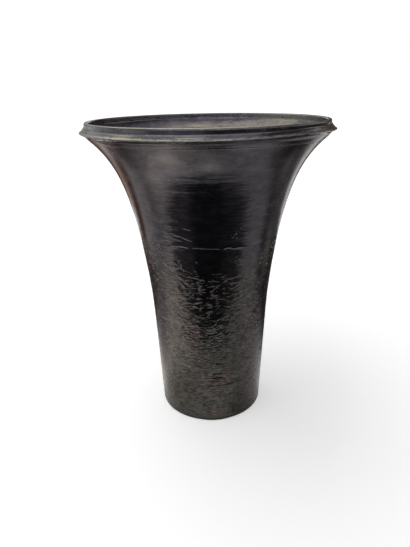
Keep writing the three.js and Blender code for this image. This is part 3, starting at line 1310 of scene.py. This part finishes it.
@dataclass
class Rim:
    """The upright lip and the collar that is luted round its root."""

    line: WallLine
    relief: ThrownRelief
    # The lip's outline.
    lip_wall: float = 0.0050
    lip_edge: float = 0.0020
    lip_straight: float = 0.0040
    lip_root: float = 0.0008
    lip_seat: float = 0.0006
    lip_rows: int = 18
    # The collar's outline, from its neck over the edge to the stepped ledge.
    neck_rise: float = 0.0037
    neck_out: float = 0.0040
    crease_rise: float = 0.0043
    crease_out: float = 0.0044
    edge_rise: float = 0.0087
    edge_radius: float = 0.0010
    sag: float = 0.0002
    step_out: float = 0.0018
    step_down: float = 0.0017
    root_out: float = 0.0011
    root_down: float = 0.0005
    seat_in: float = 0.0002
    brow_share: float = 0.2
    brow_in: float = 0.0014
    brow_down: float = 0.0006
    seat_rise: float = 0.0060
    # The hand's unevenness.
    wave: float = 0.00012
    slow_lobes: float = 2.2
    slow_size: float = 0.02
    fine_size: float = 0.006
    fine_depth: float = 0.00004
    pit_drop: float = 0.0062
    edge_lobes: float = 2.6
    edge_start: float = 7.0
    hold: float = 0.006
    # How the collar droops, and where it is pushed up.
    droop: float = 0.0013
    droop_from: float = 0.0050
    droop_to: float = 0.0014
    push: float = 0.0022
    push_angle: float = 45.0
    push_width: float = 24.0
    free_out: float = 0.0014
    free_from: float = 0.0010
    free_to: float = 0.0042
    # The nibbled edge.
    nibble: float = 0.00055
    nibble_size: float = 0.0036
    nibble_from: float = 0.1
    edge_from: float = 0.0036
    edge_to: float = 0.0010
    edge_soft: float = 0.0006
    # Where the glaze is painted pale, as thin glaze and as painted highlight and sheen, and where painted
    # shade takes that paleness back.
    # Patches inside the lip, partly paler glaze and partly a painted reflection of light on the far wall.
    inside_pale_and_sheen: Sequence[Blush] = (
        Blush(186.0, 0.3636, 0.016, 0.0026, 0.36),
        Blush(133.0, 0.3765, 0.052, 0.0034, 1.30),
        Blush(104.0, 0.3765, 0.050, 0.0034, 1.10),
        Blush(240.0, 0.3765, 0.050, 0.0034, 0.34),
        Blush(213.0, 0.3765, 0.050, 0.0034, 0.20),
    )
    # A painted highlight on the collar's ledge at the front left.
    pale: Blush = Blush(-44.0, 0.3717, 0.095, 0.0026, 0.50)
    # Painted shade at the right, which darkens the pale edges of the collar and, by lip_shade, of the lip.
    shaded: Blush = Blush(76.0, 0.3700, 0.055, 0.0300, 0.97)
    lip_shade: float = 0.5
    crest_from: float = 0.0014
    crest_to: float = 0.0003
    edge_pale: float = 0.60
    chip_glint_from: float = -0.1
    chip_glint_to: float = 0.4
    step_pale: float = 0.65
    step_line: float = 0.0005

    def __post_init__(self) -> None:
        """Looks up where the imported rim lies, and places the pit in the lip."""
        self.lip_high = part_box("lip_ring")[1]
        self.lip_radius = self.lip_high.x
        self.collar_low, self.collar_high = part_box("collar_ring")
        self.pit = Mark(-31.5, self.lip_high.z - self.pit_drop, 0.0014, 0.0011, 0.0007)

    def lip_skin(self, point: Vector) -> Skin:
        """The skin of the lip, with a slow hand-made wave and a pit at the front left."""
        turn = bearing(point)
        degrees = math.degrees(turn)
        top, radius = self.lip_high.z, self.lip_radius
        outside = axis_distance(point) > radius - self.lip_wall / 2
        slow = lobes(turn, self.slow_lobes, point.z / self.slow_size)
        fine = self.fine_depth * noise.noise(point / self.fine_size)
        if outside:
            follow = self.held(point.z)
            dent = self.pit.offset(degrees, point.z, radius)
            # A pale band along the lip's top: partly thin glaze at the edge, partly a painted highlight,
            # under painted shade at the right.
            crest = smooth(top - self.crest_from, top - self.crest_to, point.z)
            crest *= 1.0 - self.lip_shade * self.shaded.strength(degrees, point.z, radius)
        else:
            follow = dent = 0.0
            # Inside, paleness is painted on the far wall: partly paler glaze, partly a painted reflection of
            # light.
            crest = sum(blush.strength(degrees % 360, point.z, radius) for blush in self.inside_pale_and_sheen)
        move = (1.0 - follow) * self.wave * (slow - 1.0) + fine + dent
        if follow > 0.0:
            move += follow * self.relief.outside(point, turn).move
        return Skin(move, crest, inside=not outside)

    def build_lip(self, finishes: Sequence[Material]) -> None:
        """Builds the lip."""
        start = self.line.throat + SLIP / 2
        top = self.lip_high.z
        inside = self.lip_radius - self.lip_wall
        mouth = self.line.inner(self.line.throat)
        slope = self.line.slope(self.line.throat)
        root = start + self.seat_rise + self.lip_root
        upright = top - self.lip_edge - self.lip_straight
        corner = min(upright, start + (inside - mouth) / slope)
        edge = top - self.lip_edge
        straight = [root + (edge - root) * i / self.lip_rows for i in range(self.lip_rows + 1)]
        outline = [
            at(self.line.throat_radius - self.lip_seat, start),
            *[at(self.lip_radius, level) for level in straight],
            *arc((self.lip_radius - self.lip_edge, edge), self.lip_edge, 8, 90, 9),
            *arc((inside + self.lip_edge, edge), self.lip_edge, 90, 180, 9),
            *bend(at(inside, upright), at(inside, corner), at(mouth, start), 16),
        ]
        make_piece("lip_ring", "thrown", outline, self.lip_skin, finishes)

    def held(self, level: float) -> float:
        """How closely the rim follows the wall's own skin at a level, from 1 at the joint to 0."""
        return smooth(self.line.throat + self.hold, self.line.throat, level)

    def lift(self, degrees: float, level: float, out: float) -> float:
        """How much higher the hand has set the collar: its edge droops, but not at the front right.

        Args:
            degrees: Angle of the point from the front towards the right.
            level: Level of the point.
            out: Distance of the point from the axis.

        Returns:
            The rise in metres.
        """
        edge, low = self.collar_high.x, self.collar_low.z
        outer = smooth(edge - self.droop_from, edge - self.droop_to, out)
        free = smooth(self.lip_radius, self.lip_radius + self.free_out, out)
        free *= smooth(low + self.free_from, low + self.free_to, level)
        pushed = math.exp(-(((degrees - self.push_angle) / self.push_width) ** 2))
        return self.push * free * pushed - self.droop * outer

    def collar_skin(self, point: Vector) -> Skin:
        """The skin of the collar, whose thin edge is nibbled."""
        turn, out, edge = bearing(point), axis_distance(point), self.collar_high.x
        near = smooth(edge - self.edge_from, edge - self.edge_to, out)
        level = self.collar_low.z + self.edge_rise
        above = smooth(level - self.edge_soft, level + self.edge_soft, point.z)
        slow = lobes(turn, self.edge_lobes, self.edge_start)
        nibbles = noise.fractal(point / self.nibble_size, 0.8, 2.0, 3)
        move = near * (self.wave * (slow - 1.0) + self.nibble * min(0.0, nibbles - self.nibble_from))
        wall = self.relief.outside(point, turn)
        move += self.held(point.z) * wall.move
        degrees = math.degrees(turn)
        step = self.collar_high.z - self.step_down + self.step_line / 2
        # The upper side of the collar's edge is painted pale as a highlight, paler at the chips, which also
        # paint small glints.
        chips_and_highlight = self.edge_pale + (1 - self.edge_pale) * smooth(self.chip_glint_from, self.chip_glint_to, nibbles)
        crest = near * above * chips_and_highlight + wall.crest
        # Painted highlight on the ledge at the front left.
        crest += self.pale.strength(degrees, point.z, out)
        # A pale line along the step: partly thin glaze, partly a painted highlight.
        crest += self.step_pale * math.exp(-(((point.z - step) / self.step_line) ** 2))
        # Painted shade at the right takes the collar's paleness back.
        crest *= 1.0 - self.shaded.strength(degrees, point.z, out)
        return Skin(move, crest, lift=self.lift(degrees, point.z, out))

    def build_collar(self, material: Material) -> None:
        """Builds the collar."""
        start = self.line.throat + SLIP / 2
        low, high = self.collar_low, self.collar_high
        seat = self.lip_radius - self.seat_in
        edge = (high.x - self.edge_radius, low.z + self.edge_rise)
        rounded = arc(edge, self.edge_radius, -68, 62, 12)
        top = at(seat, high.z)
        root = at(seat + self.root_out, high.z - self.root_down)
        step = at(seat + self.step_out, high.z - self.step_down)
        tip = rounded[-1]
        middle = at((step.x + tip.x) / 2, (step.z + tip.z) / 2 - self.sag)
        under = at(self.line.radius(start), start)
        half = self.neck_rise / 2
        waist = at(under.x + half * self.line.slope(self.line.throat), start + half)
        neck = at(under.x + self.neck_out, start + self.neck_rise)
        crease = at(under.x + self.crease_out, start + self.crease_rise)
        brow = crease.lerp(rounded[0], self.brow_share)
        under_edge = at(rounded[0].x - self.brow_in, rounded[0].z - self.brow_down)
        outline = [
            at(seat, start + self.seat_rise),
            at(under.x - 0.0001, start + 0.0003),
            *bend(under, waist, neck, 8)[:-1],
            *bend(neck, crease, brow, 6)[:-1],
            *bend(brow, under_edge, rounded[0], 8),
            *rounded[1:-1],
            *bend(tip, middle, step, 14),
            *bend(step, at(root.x + 0.0001, root.z - 0.0002), root, 5)[1:],
            *bend(root, at(root.x - 0.0003, root.z + 0.0001), top, 5)[1:],
        ]
        make_piece("collar_ring", "luted", outline, self.collar_skin, [material])

    def build(self, outside: Material, inside: Material) -> None:
        """Builds both pieces."""
        self.build_lip([outside, inside])
        self.build_collar(outside)


@dataclass(frozen=True)
class Shot:
    """The camera at the photograph's place, as a fit of the vase's outline gives it."""

    distance_share: float = 1.5008
    height_share: float = 1.0840
    pitch: float = 21.74
    yaw: float = -0.62
    roll: float = 1.04
    focal_pixels: float = 461.8
    image_height: float = 547.0
    sensor: float = 36.0

    def axes(self) -> Matrix:
        """The camera's right, up and back directions as the columns of a matrix."""
        pitch, yaw, roll = (math.radians(a) for a in (self.pitch, self.yaw, self.roll))
        ahead = Vector((math.sin(yaw) * math.cos(pitch), math.cos(yaw) * math.cos(pitch), -math.sin(pitch)))
        level = ahead.cross(Vector((0.0, 0.0, 1.0))).normalized()
        below = ahead.cross(level)
        right = level * math.cos(roll) + below * math.sin(roll)
        down = below * math.cos(roll) - level * math.sin(roll)
        return Matrix((right, -down, -ahead)).transposed()

    def build(self) -> None:
        """Places the camera and makes it the scene's."""
        tall = cad_box[1].z
        data = bpy.data.cameras.new("photo_camera")
        data.sensor_width = self.sensor
        data.lens = self.focal_pixels * self.sensor / self.image_height
        data.clip_start = 0.01
        data.clip_end = 100.0
        camera = added("photo_camera", data)
        place = Vector((0.0, -self.distance_share * tall, self.height_share * tall))
        camera.matrix_world = Matrix.Translation(place) @ self.axes().to_4x4()
        bpy.context.scene.camera = camera


def sheet(name: str, half: tuple[float, float], material: Material) -> bpy.types.Object:
    """Makes a flat sheet for the studio, lying at the origin.

    Args:
        name: The sheet's name.
        half: Half its length and half its width.
        material: What it is made of.

    Returns:
        The sheet, linked to the scene.
    """
    shell = bmesh.new()
    bmesh.ops.create_grid(shell, x_segments=1, y_segments=1, size=1.0)
    bmesh.ops.scale(shell, vec=(*half, 1.0), verts=shell.verts)
    mesh = bpy.data.meshes.new(name)
    shell.to_mesh(mesh)
    shell.free()
    mesh.materials.append(material)
    return added(name, mesh)


@dataclass(frozen=True)
class Card:
    """A soft-edged studio card that shows only in reflections."""

    name: str
    centre: tuple[float, float, float]
    half: tuple[float, float]
    colour: Colour
    edge: float = 0.05
    turn: float = 0.0
    stand: Stand = Stand.LYING

    def mask(self, recipe: Recipe) -> Socket:
        """A mask of 1 on the card that fades to 0 towards its sides."""
        coords = recipe.add("TexCoord").outputs["Object"]
        places = recipe.add("SeparateXYZ", {0: coords})
        shares = []
        for side, half in enumerate(self.half):
            inset = recipe.math("SUBTRACT", half, recipe.math("ABSOLUTE", places.outputs[side]))
            shares.append(recipe.ramp(inset, 0.0, self.edge))
        return recipe.math("MULTIPLY", *shares)

    def build(self) -> None:
        """Builds the card."""
        material, recipe = fresh(self.name)
        glow = recipe.add("Emission", {"Color": (*self.colour, 1.0), "Strength": 1.0})
        clear = recipe.add("BsdfTransparent")
        inputs = {0: self.mask(recipe), 1: clear.outputs[0], 2: glow.outputs[0]}
        recipe.add("OutputMaterial", {"Surface": recipe.add("MixShader", inputs).outputs[0]})
        card = sheet(self.name, self.half, material)
        card.location = self.centre
        card.rotation_euler = (self.stand.value, 0.0, math.radians(self.turn))
        card.visible_camera = False
        card.visible_diffuse = False
        card.visible_shadow = False
        card.visible_transmission = False


def standing_cards() -> list[Card]:
    """The cards that stand round the vase, behind the camera, beside it and at the back."""
    return [
        Card("near_flag", (0.44, -0.95, 0.27), (0.64, 0.30), (0.128, 0.116, 0.134), 0.18, 0, Stand.UPRIGHT),
        Card("near_left", (-0.62, -0.96, 0.27), (0.62, 0.30), (0.53, 0.53, 0.65), 0.14, 0, Stand.UPRIGHT),
        Card("far_right", (1.10, 0.00, 0.28), (1.10, 0.27), (0.140, 0.120, 0.110), 0.12, 90, Stand.UPRIGHT),
        Card("back_right", (1.45, 2.30, 0.70), (1.20, 0.70), (0.110, 0.095, 0.080), 0.25, 0, Stand.UPRIGHT),
        Card("high_back_right", (1.5, 2.28, 1.95), (1.30, 0.95), (0.20, 0.17, 0.14), 0.25, 0, Stand.UPRIGHT),
        Card("back_left", (-1.45, 2.30, 0.70), (1.20, 0.70), (0.400, 0.390, 0.360), 0.25, 0, Stand.UPRIGHT),
        Card("far_left", (-1.20, -0.10, 0.28), (1.00, 0.27), (1.15, 1.14, 1.12), 0.14, 90, Stand.UPRIGHT),
    ]


def ceiling_cards() -> list[Card]:
    """The cards that hang over the vase, which its mouth mirrors."""
    return [
        Card("right_gloom", (0.90, 0.30, 1.28), (0.48, 0.70), (0.22, 0.20, 0.20), 0.16, 0),
        Card("ceiling_dim", (-0.22, 0.08, 1.13), (0.66, 0.46), (0.96, 0.93, 1.08), 0.08, 0),
        Card("ceiling_warm", (-0.33, 0.40, 1.12), (0.61, 0.43), (3.35, 3.30, 2.48), 0.20, 0),
    ]


def window_cards() -> list[Card]:
    """The bright cards high behind the camera, which the lip mirrors."""
    return [
        Card("high_left", (-0.42, -1.00, 0.78), (0.72, 0.18), (3.6, 3.5, 3.35), 0.07, 0, Stand.UPRIGHT),
        Card("high_right", (0.70, -1.00, 0.78), (0.42, 0.18), (2.2, 2.1, 2.0), 0.10, 0, Stand.UPRIGHT),
    ]


def floor_cards() -> list[Card]:
    """The cards that lie on the floor, which the wall mirrors: left, right, front and at the foot."""
    return [
        Card("left_middle", (-0.43, -0.07, 0.0025), (0.17, 0.18), (0.66, 0.63, 0.61), 0.08, 0),
        Card("left_reflector", (-0.23, -0.130, 0.003), (0.21, 0.165), (1.50, 1.36, 1.28), 0.09, 14),
        Card("left_near", (-0.17, 0.05, 0.0035), (0.12, 0.08), (1.00, 0.92, 0.84), 0.05, 0),
        Card("right_grey", (0.31, -0.10, 0.004), (0.29, 0.28), (0.68, 0.65, 0.66), 0.12, 0),
        Card("left_dusk", (-0.38, 0.16, 0.005), (0.30, 0.17), (0.45, 0.39, 0.40), 0.10, -6),
        Card("left_wash", (-0.53, 0.15, 0.006), (0.13, 0.19), (0.92, 0.84, 0.82), 0.07, 0),
        Card("left_dark", (-0.28, 0.37, 0.007), (0.22, 0.29), (0.09, 0.07, 0.055), 0.14, 8),
        Card("left_brown", (-0.58, 0.62, 0.008), (0.16, 0.33), (0.54, 0.34, 0.28), 0.14, -4),
        Card("left_shade", (-0.58, 0.36, 0.009), (0.22, 0.17), (0.20, 0.12, 0.10), 0.12, 0),
        Card("left_outline", (-0.62, 1.35, 0.010), (0.40, 0.58), (0.09, 0.06, 0.045), 0.12, 0),
        Card("right_near", (0.17, 0.22, 0.0045), (0.14, 0.20), (0.24, 0.22, 0.22), 0.10, 0),
        Card("right_dusk", (0.46, 0.26, 0.005), (0.28, 0.34), (0.19, 0.17, 0.17), 0.13, 4),
        Card("right_dark", (0.27, 0.35, 0.006), (0.22, 0.28), (0.050, 0.045, 0.045), 0.10, 0),
        Card("right_bounce", (0.45, 0.17, 0.0065), (0.09, 0.10), (0.38, 0.33, 0.32), 0.06, 0),
        Card("right_glow", (0.46, 0.73, 0.007), (0.15, 0.19), (0.86, 0.80, 0.72), 0.11, 0),
        Card("right_outline", (0.60, 1.42, 0.008), (0.40, 0.58), (0.09, 0.08, 0.07), 0.10, 0),
        Card("front_flag", (0.03, -0.697, 0.010), (0.62, 0.50), (0.043, 0.042, 0.047), 0.070, -2.0),
        Card("flag_glow", (-0.42, -0.38, 0.011), (0.24, 0.22), (0.26, 0.245, 0.25), 0.15, 0),
        Card("flag_left", (-0.25, -0.31, 0.012), (0.15, 0.11), (0.17, 0.16, 0.17), 0.10, 0),
        Card("flag_right", (0.22, -0.29, 0.012), (0.14, 0.08), (0.11, 0.105, 0.11), 0.07, 0),
        Card("foot_right", (0.085, -0.045, 0.0036), (0.070, 0.055), (0.30, 0.28, 0.27), 0.03, 0),
        Card("foot_left", (-0.085, -0.055, 0.0037), (0.065, 0.065), (0.72, 0.68, 0.64), 0.03, 0),
        Card("foot_front", (0.0, -0.120, 0.0034), (0.120, 0.070), (0.80, 0.78, 0.75), 0.03, 0),
    ]


@dataclass
class Studio:
    """The plain pale floor, the soft light and the cards that the glaze mirrors."""

    floor_size: float = 12.0
    floor_colour: Colour = (0.80, 0.80, 0.80)
    floor_glow: float = 0.50
    far_glow: float = 0.95
    far_from: float = 0.40
    far_to: float = 1.6
    world_fill: float = 0.30
    lamp_size: tuple[float, float] = (1.30, 0.76)
    lamp_place: tuple[float, float, float] = (-0.28, 0.08, 1.30)
    lamp_power: float = 11.0

    def seen(self, recipe: Recipe) -> Socket:
        """A mask of 1 for the rays that show the background: camera, glossy and transmission."""
        path = recipe.add("LightPath").outputs
        shown = recipe.math("MAXIMUM", path["Is Camera Ray"], path["Is Glossy Ray"])
        return recipe.math("MAXIMUM", shown, path["Is Transmission Ray"])

    def build_world(self) -> None:
        """Makes the world white where it shows, and a soft fill elsewhere."""
        world = bpy.data.worlds.new("studio")
        world.use_nodes = True
        world.node_tree.nodes.clear()
        recipe = Recipe(world.node_tree)
        strength = recipe.ramp(self.seen(recipe), 0.0, 1.0, self.world_fill, 1.0)
        back = recipe.add("Background", {"Color": (1.0, 1.0, 1.0, 1.0), "Strength": strength})
        recipe.add("OutputWorld", {"Surface": back.outputs[0]})
        bpy.context.scene.world = world

    def build_floor(self) -> None:
        """Builds the pale floor, which keeps the vase's shadow."""
        material, recipe = fresh("pale_floor")
        matt = recipe.add("BsdfDiffuse", {"Color": (*self.floor_colour, 1.0)})
        coords = recipe.add("TexCoord").outputs["Object"]
        reach = recipe.add("VectorMath", {0: coords}, operation="LENGTH").outputs["Value"]
        glow = recipe.ramp(reach, self.far_from, self.far_to, self.floor_glow, self.far_glow)
        strength = recipe.math("MULTIPLY", self.seen(recipe), glow)
        glow = recipe.add("Emission", {"Color": (1.0, 1.0, 1.0, 1.0), "Strength": strength})
        both = recipe.add("AddShader", {0: matt.outputs[0], 1: glow.outputs[0]})
        recipe.add("OutputMaterial", {"Surface": both.outputs[0]})
        floor = sheet("studio_floor", (self.floor_size, self.floor_size), material)

    def build_lamp(self) -> None:
        """Hangs one large softbox above the vase, to the left."""
        data = bpy.data.lights.new("softbox", "AREA")
        data.shape = "RECTANGLE"
        data.size, data.size_y = self.lamp_size
        data.energy = self.lamp_power
        lamp = added("softbox", data)
        lamp.location = self.lamp_place
        aim = Vector((0.0, 0.0, 0.2)) - Vector(self.lamp_place)
        lamp.rotation_euler = aim.to_track_quat("-Z", "Y").to_euler()

    def build_cards(self) -> None:
        """Lays out the cards whose reflections shade the glaze."""
        for card in [*standing_cards(), *ceiling_cards(), *window_cards(), *floor_cards()]:
            card.build()

    def build(self) -> None:
        """Builds the whole stage."""
        self.build_world()
        self.build_floor()
        self.build_lamp()
        self.build_cards()
        bpy.context.scene.view_settings.view_transform = "Standard"


def main() -> None:
    """Builds the vase and its studio."""
    logging.basicConfig(level=logging.INFO, format="%(message)s")
    Shot().build()
    Studio().build()
    line = WallLine(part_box("lip_ring")[0].z - SLIP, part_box("flared_wall")[1].x)
    relief = ThrownRelief(line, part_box("flared_wall")[0].z - SLIP / 2)
    effects = Effects()
    outside = wall_glaze().material(effects)
    inside = inner_glaze().material(effects)
    rim = rim_glaze().material(effects)
    foot = GlazedFoot("glaze_over_clay", wall_glaze()).material(effects)
    Base(line, relief).build(foot, inside)
    Walls(line, relief).build(outside, inside)
    Rim(line, relief).build(rim, inside)


if __name__ == "__main__":
    main()
